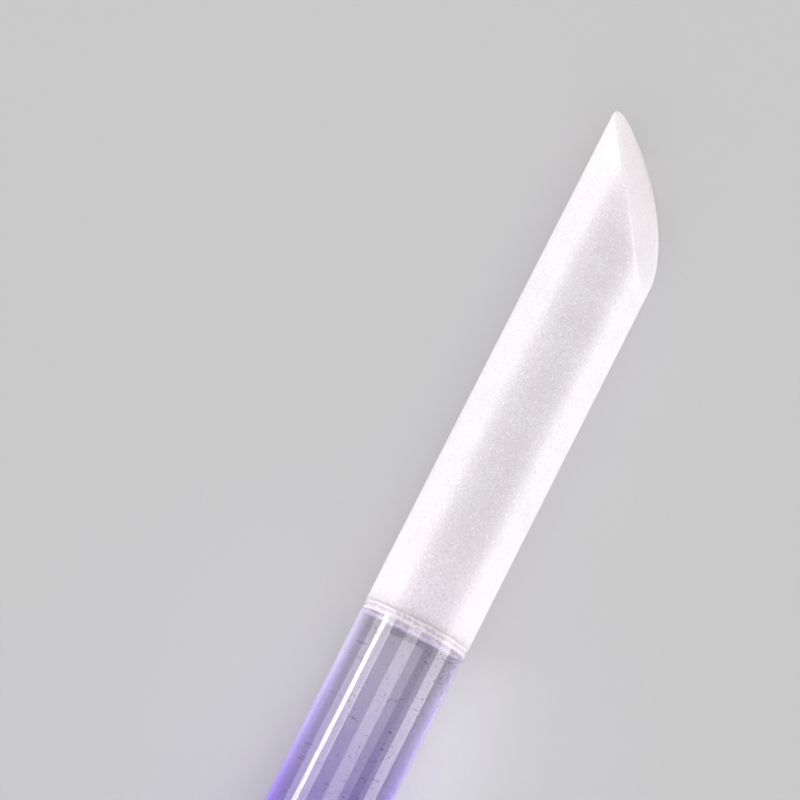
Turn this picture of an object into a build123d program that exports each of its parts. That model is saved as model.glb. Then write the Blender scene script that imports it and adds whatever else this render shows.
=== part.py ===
from build123d import *
from math import cos, radians, sin, tan
import os

# Double-ended glass cuticle pusher: a clear grip rod under a tinted coat, with a frosted tip
# bonded into each end. One tip is ground to a point, the other to a slanted pushing face.
# The origin is on the stick's axis at the middle of its length. The slanted tip is towards +X,
# and the stick lies with its slanted face turned to the front, -Y, and a little up.

# Overall sizes, in millimetres
stick_diameter = 7.0
grip_length = 47.5  # from one joint plane to the other
pointed_tip_length = 37.5  # from its joint plane to the very point
slanted_tip_length = 35.0  # from its joint plane to the very tip

# Pointed tip
cone_length = 12.2
cone_tip_half_angle = 13.8  # degrees off the axis near the point; the flank steepens towards the barrel
point_radius = 0.25
shoulder_radius = 1.0  # where the barrel turns into the cone

# Slanted tip
bevel_length = 10.0  # from the tip back to the heel of the slanted face
bevel_tip_angle = 45.0  # degrees off the axis at the tip; the face is crowned, so it flattens to the heel
bevel_edge_radius = 0.2  # worn round all along the edge of the face
bevel_turn = 63.0  # degrees about the axis that the face is turned from straight up, towards -Y

# Joint between a tip and the grip
tenon_diameter = 4.0
tenon_length = 7.0  # from the joint plane into the grip
tenon_chamfer = 0.3
bond_film = 0.06  # clear adhesive between any two bonded walls
arris = 0.3  # 45 degree edge ground on both sides of a joint, which the adhesive fills flush

# Tinted coat
coat_thickness = 0.05

# Worked out from the sizes above
stick_radius = stick_diameter / 2
rod_radius = stick_radius - coat_thickness
tenon_radius = tenon_diameter / 2
socket_radius = tenon_radius + bond_film
socket_depth = tenon_length + bond_film  # from the joint plane
half_film = bond_film / 2
stick_length = pointed_tip_length + grip_length + slanted_tip_length
pointed_joint_x = pointed_tip_length - stick_length / 2
slanted_joint_x = stick_length / 2 - slanted_tip_length

# Half sections are drawn at each joint, with local x along the stick away from the grip
pointed_section = Plane((pointed_joint_x, 0, 0), x_dir=(-1, 0, 0), z_dir=(0, 1, 0))
slanted_section = Plane((slanted_joint_x, 0, 0), x_dir=(1, 0, 0), z_dir=(0, -1, 0))
bevel_section = Plane(
    slanted_section.origin, x_dir=(1, 0, 0), z_dir=Vector(0, -1, 0).rotate(Axis.X, bevel_turn)
)


def tenon_outline():
    """Points from the axis at a tenon's end, over its shoulder, out to the skin of the tip."""
    return [
        (-tenon_length, 0),
        (-tenon_length, tenon_radius - tenon_chamfer),
        (-tenon_length + tenon_chamfer, tenon_radius),
        (half_film, tenon_radius),
        (half_film, stick_radius - arris),
        (half_film + arris, stick_radius),
    ]


def socket_outline():
    """Points from the coat's end, over the grip's edge, down the socket to the axis at its bottom."""
    return [
        (-half_film - arris, stick_radius),
        (-half_film - arris, rod_radius),
        (-half_film, rod_radius - arris),
        (-half_film, socket_radius),
        (-socket_depth, socket_radius),
        (-socket_depth, 0),
    ]


def way_off_axis(angle):
    """Direction back towards the grip and away from the axis, at an angle to the axis in degrees."""
    return (-cos(radians(angle)), sin(radians(angle)))


# Pointed tip: tenon, barrel, hollow-ground cone and rounded point, turned about the stick's axis
with BuildPart() as pointed_tip:
    with BuildSketch(pointed_section) as half_section:
        with BuildLine():
            back = Polyline(*tenon_outline())
            barrel = Line(back @ 1, (pointed_tip_length - cone_length, stick_radius))
            point_centre = (pointed_tip_length - point_radius, 0)
            point = CenterArc(point_centre, point_radius, 0, 90 - cone_tip_half_angle)
            TangentArc(point @ 1, barrel @ 1, tangent=way_off_axis(cone_tip_half_angle))
            Line(point @ 0, back @ 0)
        make_face()
        fillet(half_section.vertices().sort_by_distance(barrel @ 1)[0], shoulder_radius)
    revolve(axis=Axis.X)

# Slanted tip: tenon and barrel turned about the axis, then the crowned face ground across and its
# whole edge rounded. The edge is sharpest at the tip, so the face starts beyond it by tip_reach.
tip_reach = bevel_edge_radius * (1 / tan(radians(bevel_tip_angle / 2)) - 1)
blank_length = slanted_tip_length + stick_radius
with BuildPart() as slanted_tip:
    with BuildSketch(slanted_section):
        with BuildLine():
            back = Polyline(*tenon_outline())
            Polyline(back @ 1, (blank_length, stick_radius), (blank_length, 0), back @ 0)
        make_face()
    revolve(axis=Axis.X)
    with BuildSketch(bevel_section):
        with BuildLine():
            sharp_tip = (slanted_tip_length + tip_reach, -stick_radius)
            heel = (slanted_tip_length - bevel_length, stick_radius)
            face = TangentArc(sharp_tip, heel, tangent=way_off_axis(bevel_tip_angle))
            Polyline(heel, (blank_length, stick_radius), (blank_length, -stick_radius), sharp_tip)
        make_face()
    extrude(amount=stick_diameter, both=True, mode=Mode.SUBTRACT)
    bevel_middle = bevel_section.from_local_coords(face @ 0.5)
    bevel_face = slanted_tip.faces().sort_by_distance(bevel_middle)[0]
    fillet(bevel_face.edges(), bevel_edge_radius)

# Grip rod: clear rod with ground end edges and a blind socket in each end
with BuildPart() as grip_rod:
    with BuildSketch(Plane.YZ.offset(pointed_joint_x + half_film)):
        Circle(rod_radius)
    extrude(amount=grip_length - bond_film)
    chamfer(grip_rod.edges().filter_by(GeomType.CIRCLE), arris)
    with Locations(*grip_rod.faces().filter_by(Axis.X)):
        Hole(socket_radius, depth=socket_depth - half_film)

# Tinted coat: a sleeve of transparent lacquer on the grip rod, flush with both tips
with BuildPart() as grip_tint_coat:
    with BuildSketch(Plane.YZ.offset(pointed_joint_x + half_film + arris)):
        Circle(stick_radius)
        Circle(rod_radius, mode=Mode.SUBTRACT)
    extrude(amount=grip_length - bond_film - 2 * arris)


def bond_at(section):
    """Adhesive in one joint: round the tenon, across the shoulder, and flush in the outer groove."""
    with BuildPart() as bond:
        with BuildSketch(section):
            with BuildLine():
                Polyline(*tenon_outline(), *socket_outline(), close=True)
            make_face()
        revolve(axis=Axis.X)
    return bond


pointed_tip_bond = bond_at(pointed_section)
slanted_tip_bond = bond_at(slanted_section)

pointed_tip.part.label = "pointed_tip"
slanted_tip.part.label = "slanted_tip"
grip_rod.part.label = "grip_rod"
grip_tint_coat.part.label = "grip_tint_coat"
pointed_tip_bond.part.label = "pointed_tip_bond"
slanted_tip_bond.part.label = "slanted_tip_bond"

os.makedirs("parts", exist_ok=True)
export_step(pointed_tip.part, "parts/pointed_tip.step")
export_step(slanted_tip.part, "parts/slanted_tip.step")
export_step(grip_rod.part, "parts/grip_rod.step")
export_step(grip_tint_coat.part, "parts/grip_tint_coat.step")
export_step(pointed_tip_bond.part, "parts/pointed_tip_bond.step")
export_step(slanted_tip_bond.part, "parts/slanted_tip_bond.step")
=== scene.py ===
"""Double-ended glass cuticle pusher: two frosted glass tips bonded to a clear grip under a violet coat.

The stick's axis is X, with the origin at mid-length, the slanted tip at +X and Z up.
Sizes of the object are in millimetres, in the CAD's frame, and meshes are made in metres.
"""
from math import cos, exp, pi, radians, sin, tan

import bpy
from mathutils import Matrix, Vector, noise

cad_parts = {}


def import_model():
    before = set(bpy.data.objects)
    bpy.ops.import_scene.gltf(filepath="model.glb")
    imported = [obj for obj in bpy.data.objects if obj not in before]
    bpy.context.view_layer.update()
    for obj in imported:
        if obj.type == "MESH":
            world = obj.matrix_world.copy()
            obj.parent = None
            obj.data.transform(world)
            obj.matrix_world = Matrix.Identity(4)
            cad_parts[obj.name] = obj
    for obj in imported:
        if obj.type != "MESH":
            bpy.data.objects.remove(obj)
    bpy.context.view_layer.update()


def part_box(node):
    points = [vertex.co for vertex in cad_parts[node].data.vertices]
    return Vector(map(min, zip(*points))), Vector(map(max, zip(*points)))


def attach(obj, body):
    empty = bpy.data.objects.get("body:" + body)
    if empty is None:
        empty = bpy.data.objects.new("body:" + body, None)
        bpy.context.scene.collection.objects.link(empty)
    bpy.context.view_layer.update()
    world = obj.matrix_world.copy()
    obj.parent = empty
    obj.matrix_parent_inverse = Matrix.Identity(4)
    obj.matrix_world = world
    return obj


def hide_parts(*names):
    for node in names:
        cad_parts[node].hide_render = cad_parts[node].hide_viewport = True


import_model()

MM = 0.001


def box_mm(node):
    """Lowest and highest corners of a CAD node, in millimetres."""
    low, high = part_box(node)
    return Vector(low) / MM, Vector(high) / MM


# Places read from the frame
coat_low, coat_high = box_mm("grip_tint_coat")
radius = coat_high.z
slanted_end = box_mm("slanted_tip")[1].x
pointed_end = box_mm("pointed_tip")[0].x
slanted_band_end = box_mm("slanted_tip_bond")[1].x
pointed_band_end = box_mm("pointed_tip_bond")[0].x

# Sizes repeated from the CAD
coat_thickness = 0.05
arris = 0.3  # ground edge on both sides of a joint
stick_half_length = 60.0
bevel_length = 10.0
bevel_tip_angle = 45.0
bevel_edge_radius = 0.2
bevel_turn = 63.0  # degrees that the slanted face is turned from straight up, towards -Y
cone_length = 12.2
cone_tip_half_angle = 13.8
point_radius = 0.25
shoulder_radius = 1.0

# Mesh fineness
around = 168  # points in each loop
step = 0.16  # between loops along a barrel
face_rows = 26  # from the slanted face's edge to its middle
plain_end_loops = 8  # of a tip's joint end, hidden in the seam and left without etching
plain_point_loops = 12  # of the pointed tip's very end, left without etching

# Surface unevenness, in millimetres
etch_depth = 0.006
end_ripple = 0.09  # of the line where a tip's skin ends
coat_end_ripple = 0.03
coat_swell = 0.004
coat_gap = 0.004  # between the rod's skin and the inside of the coat
seam_ripple = 0.08
pit_size = 0.42  # of the etching, along the skin
swell_size = 2.6
ripples = ((2.3, 1.0), (7.1, 0.5), (17.0, 0.4))  # how fine and how strong each part of a wave is

# Colours, in linear light
milk_dull = (0.80, 0.765, 0.795)
milk_pale = (0.85, 0.82, 0.845)
lilac_cast = (0.93, 0.83, 0.92)
rosy_cast = (0.93, 0.82, 0.84)
crystal_shade = (0.73, 0.69, 0.72)
# Painted glint: white specks on the frosted tips that stand in for their sparkle
painted_glint_white = (1.0, 1.0, 1.0)
rod_tint_pale = (0.95, 0.935, 0.99)
rod_tint_deep = (0.76, 0.69, 0.95)
rod_shadow_tint = (0.9, 0.88, 0.96)
lacquer_pale = (0.74, 0.68, 0.94)
lacquer_deep = (0.27, 0.13, 0.80)
dust_brown = (0.16, 0.09, 0.10)
# Painted shade: the adhesive's hollow and edge colours darken its hollow and its edges; the hollow's
# tone is partly the glue's wetter look
adhesive_hollow_painted_shade = (0.68, 0.60, 0.69)
adhesive_ridge = (0.90, 0.84, 0.90)
adhesive_edge_painted_shade = (0.74, 0.66, 0.74)
adhesive_bubble = (0.97, 0.95, 0.98)
floor_grey = (0.72, 0.72, 0.725)
backdrop_white = (1.0, 0.99, 1.0)

# How far tints reach along the stick, in millimetres
lilac_reach = 7.0  # from a joint into the tip
rosy_reach = 9.0  # from a tip's end back
rod_tint_reach = 16.0  # from an end of the grip to the rod's full depth of colour
lacquer_reach = 14.0  # the same for the lacquer
dust_reach = 6.0  # from an end of the grip

# Camera, as the product is photographed: from above, the tip leaning back and to the right
camera_tilt = 8.5  # degrees from straight above, towards the grip
camera_lean = 27.1  # degrees that the stick leans clockwise from upright in the picture
camera_distance = 246.5  # millimetres
camera_target = Vector((37.2, 7.2, 0.0))
camera_lens = 180.0


# ---------------------------------------------------------------- meshes


def lofted(name, loops, first_pole=None, last_pole=None, wrap=False):
    """Skins equal loops of points, in mm, with quads. A pole closes an end with a fan, and wrap
    joins the last loop to the first."""
    count = len(loops[0])
    points = [p for loop in loops for p in loop]
    faces = []
    rows = len(loops) if wrap else len(loops) - 1
    for row in range(rows):
        here = row * count
        there = (row + 1) % len(loops) * count
        for i in range(count):
            j = (i + 1) % count
            faces.append((here + i, here + j, there + j, there + i))
    if first_pole is not None:
        points.append(first_pole)
        faces += [(len(points) - 1, (i + 1) % count, i) for i in range(count)]
    if last_pole is not None:
        points.append(last_pole)
        start = (len(loops) - 1) * count
        faces += [(len(points) - 1, start + i, start + (i + 1) % count) for i in range(count)]
    mesh = bpy.data.meshes.new(name)
    mesh.from_pydata([tuple(Vector(p) * MM) for p in points], [], faces)
    mesh.validate()
    mesh.shade_smooth()
    piece = bpy.data.objects.new(name, mesh)
    bpy.context.scene.collection.objects.link(piece)
    return piece


def angles():
    """Angles round the axis, from straight up towards -Y."""
    return [2 * pi * i / around for i in range(around)]


def ring(x, r):
    """A loop of points round the axis."""
    return [Vector((x, -r * sin(a), r * cos(a))) for a in angles()]


def stations(start, end, spacing):
    """Evenly spaced places from start to end, both included."""
    count = max(2, round(abs(end - start) / spacing) + 1)
    return [start + (end - start) * i / (count - 1) for i in range(count)]


def grain(point, size):
    """Noise between about -1 and 1, with features about size millimetres across."""
    return noise.noise(Vector(point) / size)


def wave(angle, seed, size=1.0):
    """An irregular ripple round the axis, between about -1 and 1."""
    where = Vector((cos(angle), sin(angle), seed)) * size
    return sum(strength * noise.noise(where * fineness) for fineness, strength in ripples)


# ---------------------------------------------------------------- tips


def etched(point):
    """Moves a point of a tip's skin inwards by the unevenness that etching leaves."""
    pits = 0.5 + 0.5 * grain(point, pit_size)
    swell = 0.5 + 0.5 * grain(point, swell_size)
    inwards = Vector((0, -point.y, -point.z))
    return point + inwards.normalized() * etch_depth * (pits + swell)


def etch(loops, plain_at_last):
    """Etches a tip's loops, apart from those of its joint end and the last ones."""
    for loop in loops[plain_end_loops : len(loops) - plain_at_last]:
        loop[:] = [etched(p) for p in loop]


def joint_end_loops(band_end, towards_grip, seed):
    """Loops from a tip's flat end, over its ground edge, to its skin. The edge is uneven."""
    flat_x = band_end + towards_grip * arris
    loops = [ring(flat_x, radius * share) for share in (0.3, 0.6, 0.85)]
    loops.append(ring(flat_x, radius - arris))
    outer = []
    for a in angles():
        x = band_end + towards_grip * end_ripple * wave(a, seed, 1.4)
        outer.append(Vector((x, -radius * sin(a), radius * cos(a))))
    inner = loops[-1]
    for share in (0.25, 0.5, 0.75, 0.92):
        loops.append([p.lerp(q, share) for p, q in zip(inner, outer)])
    loops.append(outer)
    return loops, Vector((flat_x, 0, 0))


def slanted_tip():
    """Barrel, then the crowned slanted face with its whole edge worn round."""
    up = Vector((0, -sin(radians(bevel_turn)), cos(radians(bevel_turn))))
    across = Vector((0, cos(radians(bevel_turn)), sin(radians(bevel_turn))))
    tip_reach = bevel_edge_radius * (1 / tan(radians(bevel_tip_angle / 2)) - 1)

    # The face is part of a large cylinder, drawn as a circle in the plane of x and up
    sharp_x, sharp_up = stick_half_length + tip_reach, -radius
    heel_x, heel_up = stick_half_length - bevel_length, radius
    chord_x, chord_up = heel_x - sharp_x, heel_up - sharp_up
    inward_x, inward_up = -sin(radians(bevel_tip_angle)), -cos(radians(bevel_tip_angle))
    face_radius = (chord_x**2 + chord_up**2) / 2 / (chord_x * inward_x + chord_up * inward_up)
    centre_x, centre_up = sharp_x + face_radius * inward_x, sharp_up + face_radius * inward_up

    def on_face(height, side, r):
        """Point of the face, or of its offset, at a height along up and a distance across."""
        x = centre_x + (r**2 - (height - centre_up) ** 2) ** 0.5
        return Vector((x, 0, 0)) + up * height + across * side

    worn = bevel_edge_radius
    edge_centres, skins, normals = [], [], []
    for a in angles():
        outward = up * cos(a) + across * sin(a)
        height = (radius - worn) * cos(a)
        centre = on_face(height, (radius - worn) * sin(a), face_radius - worn)
        slope = Vector((centre.x - centre_x, 0, 0)) + up * (height - centre_up)
        edge_centres.append(centre)
        skins.append(outward)
        normals.append(slope.normalized())

    loops, pole = joint_end_loops(slanted_band_end, -1, 3.0)
    # The loops round the joint end are turned to start from the same line as the face's
    loops = [[Vector((p.x, 0, 0)) + up * p.z - across * p.y for p in loop] for loop in loops]
    first = loops[-1]
    last = [c + n * worn for c, n in zip(edge_centres, skins)]
    rows = round((stick_half_length - bevel_length / 2 - slanted_band_end) / step)
    for row in range(1, rows):
        loops.append([p.lerp(q, row / rows) for p, q in zip(first, last)])
    for share in stations(0, 1, 1 / 9):
        loop = []
        for c, n, m in zip(edge_centres, skins, normals):
            turn = n.angle(m)
            axis = n.cross(m).normalized()
            loop.append(c + worn * (Matrix.Rotation(turn * share, 3, axis) @ n))
        loops.append(loop)
    edge = loops[-1]
    middle_height = -0.4  # of the point that the face's rows shrink to, along up
    middle = on_face(middle_height, 0, face_radius)
    for row in range(1, face_rows):
        share = 1 - row / face_rows
        loop = []
        for p in edge:
            height = middle_height + (p.dot(up) - middle_height) * share
            loop.append(on_face(height, p.dot(across) * share, face_radius))
        loops.append(loop)
    etch(loops, face_rows - 1)
    return lofted("frosted_slanted_tip", loops, pole, middle)


def pointed_profile():
    """Half outline of the pointed tip beyond its barrel, as (distance back from the point, radius)."""
    half = radians(cone_tip_half_angle)
    start = Vector((point_radius * (1 - sin(half)), point_radius * cos(half)))
    end = Vector((cone_length, radius))
    # The hollow flank is an arc that leaves the rounded point at the tip's half angle
    along = Vector((cos(half), sin(half)))
    outward = Vector((-along.y, along.x))
    chord = end - start
    flank_radius = chord.length_squared / 2 / chord.dot(outward)
    centre = start + outward * flank_radius
    # The shoulder is a small arc inside the barrel's line and the flank
    shoulder_y = radius - shoulder_radius
    reach = flank_radius + shoulder_radius
    shoulder_x = centre.x + (reach**2 - (centre.y - shoulder_y) ** 2) ** 0.5
    shoulder = Vector((shoulder_x, shoulder_y))
    meet = shoulder + (centre - shoulder).normalized() * shoulder_radius

    outline = []
    for share in stations(0, 1, 1 / 8):
        a = share * (pi / 2 - half)
        outline.append((point_radius * (1 - cos(a)), point_radius * sin(a)))
    first = start - centre
    sweep = first.angle(meet - centre)
    for share in stations(0, 1, step / cone_length)[1:]:
        a = -sweep * share if first.cross(meet - centre) < 0 else sweep * share
        x = centre.x + first.x * cos(a) - first.y * sin(a)
        y = centre.y + first.x * sin(a) + first.y * cos(a)
        outline.append((x, y))
    rise = Vector((0, 1)).angle(meet - shoulder)
    for share in stations(0, 1, 1 / 10)[1:]:
        a = rise * (1 - share)
        outline.append((shoulder.x - shoulder_radius * sin(a), shoulder.y + shoulder_radius * cos(a)))
    return outline


def pointed_tip():
    """Barrel, then the hollow-ground cone down to its small round point."""
    loops, pole = joint_end_loops(pointed_band_end, 1, 8.0)
    outline = pointed_profile()
    barrel_end = pointed_end + outline[-1][0]
    first = loops[-1]
    last = ring(barrel_end, radius)
    rows = round(abs(barrel_end - pointed_band_end) / step)
    for row in range(1, rows):
        loops.append([p.lerp(q, row / rows) for p, q in zip(first, last)])
    loops += [ring(pointed_end + back, r) for back, r in reversed(outline[1:])]
    etch(loops, plain_point_loops)
    return lofted("frosted_pointed_tip", loops, pole, Vector((pointed_end, 0, 0)))


# ---------------------------------------------------------------- grip


def clear_rod():
    """The clear rod, flat at both ends, just short of each tip's flat end."""
    rod_radius = radius - coat_thickness
    worn = 0.02  # corner of each end
    low = coat_low.x - arris
    high = coat_high.x + arris
    places = [low + worn, *stations(low + 2 * worn, high - 2 * worn, 1.0), high - worn]
    body = [ring(x, rod_radius) for x in places]
    flats = (0.35 * rod_radius, 0.7 * rod_radius, rod_radius - 2 * worn, rod_radius - worn)
    ends = [[ring(x, r) for r in flats] for x in (low, high)]
    loops = ends[0] + body + ends[1][::-1]
    return lofted("clear_grip_rod", loops, Vector((low, 0, 0)), Vector((high, 0, 0)))


def violet_coat():
    """The lacquer film: a thin sleeve whose ends run out in an uneven line."""
    inner_radius = radius - coat_thickness + coat_gap
    loops = []
    tight = 0.02  # from each end to the next loop, so that shading stays even up to the end
    places = stations(coat_low.x + tight, coat_high.x - tight, 0.5)
    for x in [coat_low.x, *places, coat_high.x]:
        loops.append(ring(x, radius))
    for first, direction, seed in ((0, 1, 5.0), (len(loops) - 2, -1, 6.0)):
        for loop in loops[first : first + 2]:
            for p, a in zip(loop, angles()):
                p.x += direction * coat_end_ripple * (1 + wave(a, seed, 1.5))
    for loop in loops:
        for p in loop:
            swell = coat_swell * (0.5 + 0.5 * grain(p, 3.0))
            p.yz = p.yz * (1 - swell / radius)
    inside = [ring(loop[0].x, inner_radius) for loop in loops[::-1]]
    for near, far in zip(inside, loops[::-1]):
        for p, q in zip(near, far):
            p.x = q.x
    return lofted("violet_lacquer_coat", loops + inside, wrap=True)


def seam(name, start, end, seed):
    """Adhesive bead in a joint's groove: two uneven ridges with a hollow between, and ragged edges."""
    rows = 15
    ridges = ((0.24, 0.13), (0.78, 0.12))  # place and width of each, as shares of the bead's width
    hollow = 0.045  # below the stick's skin
    rise = 0.035  # of a ridge out of the hollow
    tuck = 0.09  # of both edges into the groove
    loops = []
    width = end - start
    for i in range(rows):
        share = i / (rows - 1)
        ridge = sum(exp(-(((share - middle) / spread) ** 2)) for middle, spread in ridges)
        edge = tuck if i in (0, rows - 1) else 0
        loop = []
        for a in angles():
            near_start = wave(a, seed, 2.6) * (1 - share)
            near_end = wave(a, seed + 4, 2.6) * share
            x = start + width * share + seam_ripple * (near_start + near_end)
            lumps = 0.5 + 0.5 * noise.noise(Vector((x * 2.2, 6 * cos(a), 6 * sin(a) + seed)))
            r = radius - hollow + rise * min(1, ridge) * (0.4 + 0.6 * lumps) - edge
            loop.append(Vector((x, -r * sin(a), r * cos(a))))
        loops.append(loop)
    groove_radius = radius - arris - 0.02
    loops.append(ring(end - 0.3 * width, groove_radius))
    loops.append(ring(start + 0.3 * width, groove_radius))
    return lofted(name, loops, wrap=True)


# ---------------------------------------------------------------- materials


def material(name):
    """A new material, its node tree and its shader."""
    made = bpy.data.materials.new(name)
    made.use_nodes = True
    tree = made.node_tree
    return made, tree, tree.nodes["Principled BSDF"]


def add(tree, kind, **values):
    """Adds a node. Values name its sockets, with _ for a space, or else its settings."""
    made = tree.nodes.new("ShaderNode" + kind)
    for name, value in values.items():
        socket = made.inputs.get(name.replace("_", " "))
        if socket is None:
            setattr(made, name, value)
        else:
            socket.default_value = value
    return made


def join(tree, source, target, out=0):
    """Links a node's output, by number or name, to a socket."""
    tree.links.new(source.outputs[out], target)


def place(tree, stretch=(1, 1, 1)):
    """Object coordinates in millimetres, for textures."""
    here = add(tree, "TexCoord")
    scaled = add(tree, "Mapping")
    scaled.inputs["Scale"].default_value = [s / MM for s in stretch]
    join(tree, here, scaled.inputs["Vector"], "Object")
    return scaled


def noise_of(tree, size, detail=2.0, stretch=(1, 1, 1), roughness=0.5):
    """Noise whose features are about size millimetres across."""
    made = add(tree, "TexNoise", Scale=1 / size, Detail=detail, Roughness=roughness)
    join(tree, place(tree, stretch), made.inputs["Vector"])
    return made


def ramp(tree, source, low, high, start=0.0, end=1.0, out=0):
    """Turns low..high of a value into start..end."""
    made = add(tree, "MapRange")
    made.inputs["From Min"].default_value = low
    made.inputs["From Max"].default_value = high
    made.inputs["To Min"].default_value = start
    made.inputs["To Max"].default_value = end
    join(tree, source, made.inputs["Value"], out)
    return made


def blend(tree, factor, first, second):
    """Mixes two colours, each a colour or a node."""
    made = add(tree, "Mix", data_type="RGBA")
    join(tree, factor, made.inputs[0])
    for value, socket in ((first, made.inputs[6]), (second, made.inputs[7])):
        if isinstance(value, tuple):
            socket.default_value = (*value, 1)
        else:
            join(tree, value, socket, 2 if value.bl_idname == "ShaderNodeMix" else 0)
    return made


def calc(tree, operation, *values):
    """A Math node on numbers and nodes."""
    made = add(tree, "Math", operation=operation)
    for value, socket in zip(values, made.inputs):
        if isinstance(value, (int, float)):
            socket.default_value = value
        else:
            join(tree, value, socket)
    return made


def length_along(tree):
    """The x coordinate in millimetres."""
    split = add(tree, "SeparateXYZ")
    join(tree, place(tree), split.inputs[0])
    return split


def frosted_glass(name, joint_x, towards_tip):
    """Etched glass: milky, satin, with a grain and painted white glints for its sparkle, lilac by the
    joint and rosy at the tip's end. The tip lies towards +X or -X from its joint, as towards_tip is 1
    or -1."""
    made, tree, shader = material(name)
    clouds = noise_of(tree, 2.4, 3.0)
    milk = blend(tree, ramp(tree, clouds, 0.3, 0.7), milk_dull, milk_pale)
    lilac_end = joint_x + towards_tip * lilac_reach
    near = ramp(tree, length_along(tree), joint_x, lilac_end, 0.75, 0.0)
    lilac = blend(tree, near, milk, lilac_cast)
    tip_x = slanted_end if towards_tip > 0 else pointed_end
    rosy_start = tip_x - towards_tip * rosy_reach
    ending = ramp(tree, length_along(tree), rosy_start, tip_x, 0.0, 0.8)
    tinted = blend(tree, ending, lilac, rosy_cast)
    specks = noise_of(tree, 0.11, 1.0)
    # Painted glints: white specks mixed into the base colour stand in for sparkle; the lower roughness
    # there is real
    painted_glints = ramp(tree, specks, 0.62, 0.69)
    crystals = ramp(tree, noise_of(tree, 0.16, 3.0, roughness=0.7), 0.38, 0.5, 0.8, 0.0)
    grained = blend(tree, crystals, tinted, crystal_shade)
    colour = blend(tree, painted_glints, grained, painted_glint_white)
    join(tree, colour, shader.inputs["Base Color"], 2)
    join(tree, ramp(tree, specks, 0.3, 0.75, 0.5, 0.28), shader.inputs["Roughness"])
    pits = noise_of(tree, 0.11, 3.0)
    strokes = noise_of(tree, 0.1, 2.0, stretch=(1.6, 0.5, 0.5))
    height = calc(tree, "ADD", pits, strokes)
    bump = add(tree, "Bump", Strength=0.35, Distance=0.03 * MM)
    join(tree, height, bump.inputs["Height"])
    join(tree, bump, shader.inputs["Normal"])
    shader.inputs["Subsurface Weight"].default_value = 1.0
    shader.inputs["Subsurface Radius"].default_value = (1.0, 0.95, 1.0)
    shader.inputs["Subsurface Scale"].default_value = 2.0 * MM
    shader.inputs["IOR"].default_value = 1.5
    return made


def off_grip_middle(tree):
    """Distance along the stick from the middle of the grip, in millimetres."""
    grip_middle = (coat_low.x + coat_high.x) / 2
    return calc(tree, "ABSOLUTE", calc(tree, "SUBTRACT", length_along(tree), grip_middle))


def clear_glass():
    """Drawn glass rod: smooth, with the faintest drawing lines along it. Light that crosses its skin
    takes the lacquer's tint, deeper to the middle of the grip."""
    made, tree, shader = material("clear_glass")
    half = (coat_high.x - coat_low.x) / 2
    deep = ramp(tree, off_grip_middle(tree), half, half - rod_tint_reach, 0.0, 1.0)
    tint = blend(tree, deep, rod_tint_pale, rod_tint_deep)
    join(tree, tint, shader.inputs["Base Color"], 2)
    lines = noise_of(tree, 0.5, 2.0, stretch=(0.02, 1, 1))
    bump = add(tree, "Bump", Strength=0.02, Distance=0.01 * MM)
    join(tree, lines, bump.inputs["Height"])
    join(tree, bump, shader.inputs["Normal"])
    shader.inputs["Transmission Weight"].default_value = 1.0
    shader.inputs["Roughness"].default_value = 0.01
    shader.inputs["IOR"].default_value = 1.5
    shader.inputs["Coat Weight"].default_value = 1.0
    shader.inputs["Coat IOR"].default_value = 1.7
    shader.inputs["Coat Roughness"].default_value = 0.04
    see_through(tree, shader, rod_shadow_tint)
    return made


def see_through(tree, shader, tint):
    """Lets lamps' light pass straight through, so that the glass casts a soft tinted shadow."""
    path = add(tree, "LightPath")
    clear = add(tree, "BsdfTransparent", Color=(*tint, 1))
    mix = add(tree, "MixShader")
    join(tree, path, mix.inputs[0], "Is Shadow Ray")
    join(tree, shader, mix.inputs[1])
    join(tree, clear, mix.inputs[2])
    join(tree, mix, tree.nodes["Material Output"].inputs["Surface"])


def violet_lacquer():
    """Sprayed transparent lacquer: deeper violet to the middle of the grip, unevenly misted, with
    more of the film seen edge-on. Brownish dust lies all over, most by both ends towards -Y."""
    made, tree, shader = material("violet_lacquer")
    from_middle = off_grip_middle(tree)
    half = (coat_high.x - coat_low.x) / 2
    deep = ramp(tree, from_middle, half, half - lacquer_reach, 0.0, 1.0)
    mist = noise_of(tree, 0.14, 3.0)
    misty = calc(tree, "ADD", deep, ramp(tree, mist, 0.3, 0.7, -0.18, 0.18))
    colour = blend(tree, ramp(tree, misty, 0.0, 1.0), lacquer_pale, lacquer_deep)
    settled = ramp(tree, length_along(tree), -0.6 * radius, -radius, 0.0, 0.14, out="Y")
    by_joint = ramp(tree, from_middle, half - dust_reach, half, 0.0, 0.11)
    flecks = calc(tree, "ADD", noise_of(tree, 0.13, 1.0), calc(tree, "MINIMUM", settled, by_joint))
    dust = ramp(tree, flecks, 0.73, 0.76)
    dusty = blend(tree, dust, colour, dust_brown)
    join(tree, dusty, shader.inputs["Base Color"], 2)
    cover = ramp(tree, misty, -0.2, 1.0, 0.025, 0.09)
    facing = add(tree, "LayerWeight", Blend=0.35)
    cover = calc(tree, "ADD", cover, ramp(tree, facing, 0.3, 1.0, 0.0, 0.5, out="Facing"))
    opaque = calc(tree, "MAXIMUM", cover, calc(tree, "MULTIPLY", dust, 0.8))
    join(tree, opaque, shader.inputs["Alpha"])
    join(tree, ramp(tree, mist, 0.3, 0.7, 0.08, 0.2), shader.inputs["Roughness"])
    bump = add(tree, "Bump", Strength=0.04, Distance=0.02 * MM)
    join(tree, noise_of(tree, 0.25, 3.0), bump.inputs["Height"])
    join(tree, bump, shader.inputs["Normal"])
    return made


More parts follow.
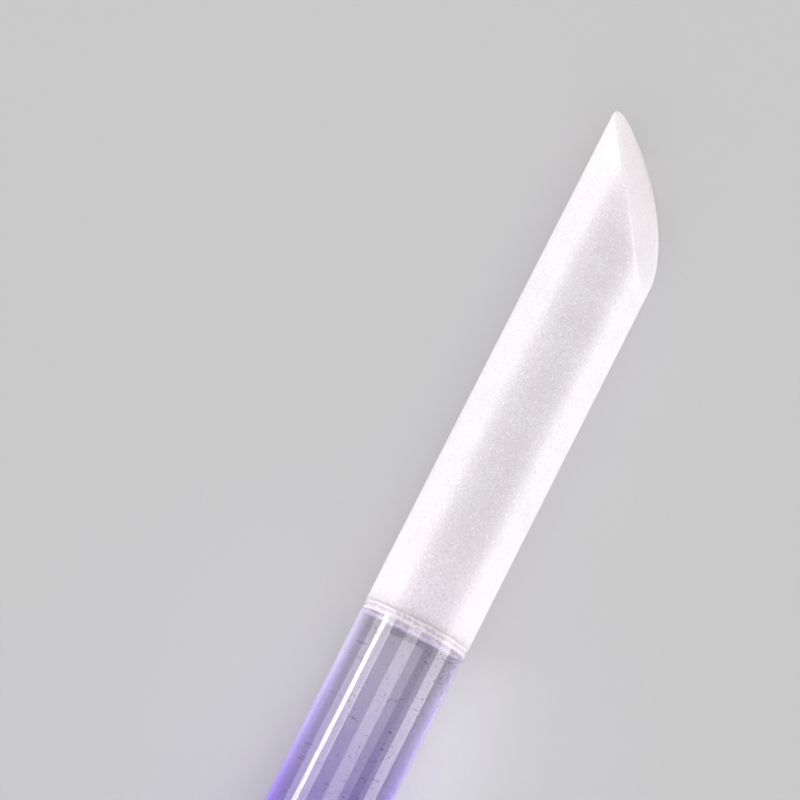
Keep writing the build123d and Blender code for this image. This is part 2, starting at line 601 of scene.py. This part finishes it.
def adhesive(name, joint_x):
    """Cured clear adhesive: glossy and crinkled, pale on its ridges, with painted shade in the hollow
    between them and along both edges (the hollow's darker tone is partly the glue's wetter look), with
    tiny bubbles."""
    made, tree, shader = material(name)
    crinkle = noise_of(tree, 0.22, 3.0)
    off_middle = calc(tree, "ABSOLUTE", calc(tree, "SUBTRACT", length_along(tree), joint_x))
    wavy = calc(tree, "ADD", off_middle, ramp(tree, crinkle, 0.3, 0.7, -0.12, 0.12))
    # Painted shade: darker in the hollow between the ridges (partly the glue's wetter look) and along
    # both edges
    colour = blend(tree, ramp(tree, wavy, 0.05, 0.14), adhesive_hollow_painted_shade, adhesive_ridge)
    edged = blend(tree, ramp(tree, wavy, 0.22, 0.3), colour, adhesive_edge_painted_shade)
    bubbles = add(tree, "TexVoronoi", Scale=1 / 0.16)
    join(tree, place(tree), bubbles.inputs["Vector"])
    rim = ramp(tree, bubbles, 0.12, 0.2, 1.0, 0.0)
    join(tree, blend(tree, rim, edged, adhesive_bubble), shader.inputs["Base Color"], 2)
    join(tree, ramp(tree, crinkle, 0.3, 0.7, 0.05, 0.22), shader.inputs["Roughness"])
    bump = add(tree, "Bump", Strength=0.7, Distance=0.04 * MM)
    join(tree, crinkle, bump.inputs["Height"])
    join(tree, bump, shader.inputs["Normal"])
    shader.inputs["Subsurface Weight"].default_value = 0.4
    shader.inputs["Subsurface Radius"].default_value = (1.0, 1.0, 1.0)
    shader.inputs["Subsurface Scale"].default_value = 0.3 * MM
    return made


# ---------------------------------------------------------------- object


# Collections that lamps light: the whole stick, its tips with their seams, or its grip
stick = bpy.data.collections.new("stick")
tips = bpy.data.collections.new("tips")
grip = bpy.data.collections.new("grip")
grip_pieces = ("clear_grip_rod", "violet_lacquer_coat")


def fit(piece, finish, slot, *nodes):
    """Gives a piece its lamps, its material and its place in the frame."""
    stick.objects.link(piece)
    part_of_stick = grip if piece.name in grip_pieces else tips
    part_of_stick.objects.link(piece)
    piece.data.materials.append(finish)
    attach(piece, "root")
    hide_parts(*nodes)


fit(
    slanted_tip(),
    frosted_glass("frosted_glass_slanted", slanted_band_end, 1),
    "frosted_glass",
    "slanted_tip",
)
fit(
    pointed_tip(),
    frosted_glass("frosted_glass_pointed", pointed_band_end, -1),
    "frosted_glass",
    "pointed_tip",
)
fit(clear_rod(), clear_glass(), "clear_glass", "grip_rod")
fit(violet_coat(), violet_lacquer(), "violet_lacquer", "grip_tint_coat")
joints = (
    ("slanted", coat_high.x, slanted_band_end, 1.0),
    ("pointed", pointed_band_end, coat_low.x, 2.0),
)
for side, start, end, seed in joints:
    bead = seam(side + "_tip_seam", start, end, seed)
    finish = adhesive("clear_adhesive_" + side, (start + end) / 2)
    fit(bead, finish, "clear_adhesive", side + "_tip_bond")


# ---------------------------------------------------------------- stage


# The floor has a lamp of its own
stage = bpy.data.collections.new("stage")


def floor():
    """A plain pale floor that the stick lies on."""
    mesh = bpy.data.meshes.new("floor")
    reach = 6.0  # metres each way from the middle
    height = -radius * MM
    corners = [(-reach, -reach), (reach, -reach), (reach, reach), (-reach, reach)]
    mesh.from_pydata([(x, y, height) for x, y in corners], [], [(0, 1, 2, 3)])
    made = bpy.data.objects.new("floor", mesh)
    bpy.context.scene.collection.objects.link(made)
    finish, _, shader = material("pale_floor")
    shader.inputs["Base Color"].default_value = (*floor_grey, 1)
    shader.inputs["Roughness"].default_value = 0.9
    shader.inputs["Specular IOR Level"].default_value = 0.1
    mesh.materials.append(finish)
    stage.objects.link(made)


def softbox(name, place_mm, aim_mm, size_mm, watts, lit):
    """A rectangular lamp, size_mm long along the stick and wide across it, facing its aim. It lights
    only the objects of one collection, so the low lamps make no pools of light on the floor, and
    the grip and the tips can be lit apart."""
    lamp = bpy.data.lights.new(name, "AREA")
    lamp.shape = "RECTANGLE"
    lamp.size = size_mm[0] * MM
    lamp.size_y = size_mm[1] * MM
    lamp.energy = watts
    made = bpy.data.objects.new(name, lamp)
    back = (Vector(place_mm) - Vector(aim_mm)).normalized()
    along = (Vector((1, 0, 0)) - back * back.x).normalized()
    turn = Matrix((along, back.cross(along), back)).transposed().to_4x4()
    made.matrix_world = Matrix.Translation(Vector(place_mm) * MM) @ turn
    made.visible_camera = False
    made.light_linking.receiver_collection = lit
    bpy.context.scene.collection.objects.link(made)


def world(light, backdrop):
    """Even light from all round. The camera sees it brighter, as a backdrop like the floor."""
    made = bpy.data.worlds.new("studio")
    made.use_nodes = True
    tree = made.node_tree
    path = tree.nodes.new("ShaderNodeLightPath")
    strength = tree.nodes.new("ShaderNodeMapRange")
    strength.inputs["To Min"].default_value = light
    strength.inputs["To Max"].default_value = backdrop
    tree.links.new(path.outputs["Is Camera Ray"], strength.inputs["Value"])
    sky = tree.nodes["Background"]
    sky.inputs["Color"].default_value = (*backdrop_white, 1)
    tree.links.new(strength.outputs[0], sky.inputs["Strength"])
    bpy.context.scene.world = made


def around_stick(angle, distance, x):
    """A place at an angle from straight up towards +Y, in degrees, at a distance from the axis."""
    return (x, distance * sin(radians(angle)), distance * cos(radians(angle)))


floor()
world(light=0.19, backdrop=0.6)
softbox("left_softbox", around_stick(67, 220, 40.0), (40, 0, 0), (360, 38), 0.275, stick)
softbox("left_rim", around_stick(76, 220, 40.0), (40, 0, 0), (360, 110), 0.24, stick)
softbox("right_softbox", around_stick(-79, 220, 50.0), (50, 0, 0), (400, 118), 0.69, tips)
softbox("right_grip_softbox", around_stick(-79, 220, 50.0), (50, 0, 0), (400, 118), 0.44, grip)
softbox("left_fill", around_stick(55, 230, 0.0), (0, 0, 0), (420, 85), 0.34, grip)
softbox("right_fill", around_stick(-59, 230, 0.0), (0, 0, 0), (420, 60), 0.06, grip)
softbox("top_strip", around_stick(0, 260, 0.0), (0, 0, 0), (420, 125), 0.29, grip)
softbox("tip_light", around_stick(10, 250, 0.0), (0, 0, 0), (420, 200), 0.245, tips)
softbox("floor_light", (0, 0, 3000), (0, 0, 0), (24000, 24000), 1180.0, stage)


def camera():
    """A long lens at the photo's angle."""
    lens = bpy.data.cameras.new("camera")
    lens.lens = camera_lens
    lens.sensor_width = 36.0
    lens.clip_start = 0.01
    lens.clip_end = 20.0
    made = bpy.data.objects.new("camera", lens)
    tilt = radians(camera_tilt)
    back = Vector((-sin(tilt), 0, cos(tilt)))
    stick_up = Vector((cos(tilt), 0, sin(tilt)))
    up = Matrix.Rotation(radians(camera_lean), 3, back) @ stick_up
    turn = Matrix((up.cross(back), up, back)).transposed().to_4x4()
    made.matrix_world = Matrix.Translation((camera_target + back * camera_distance) * MM) @ turn
    bpy.context.scene.collection.objects.link(made)
    bpy.context.scene.camera = made


camera()
bpy.context.scene.view_settings.view_transform = "Standard"
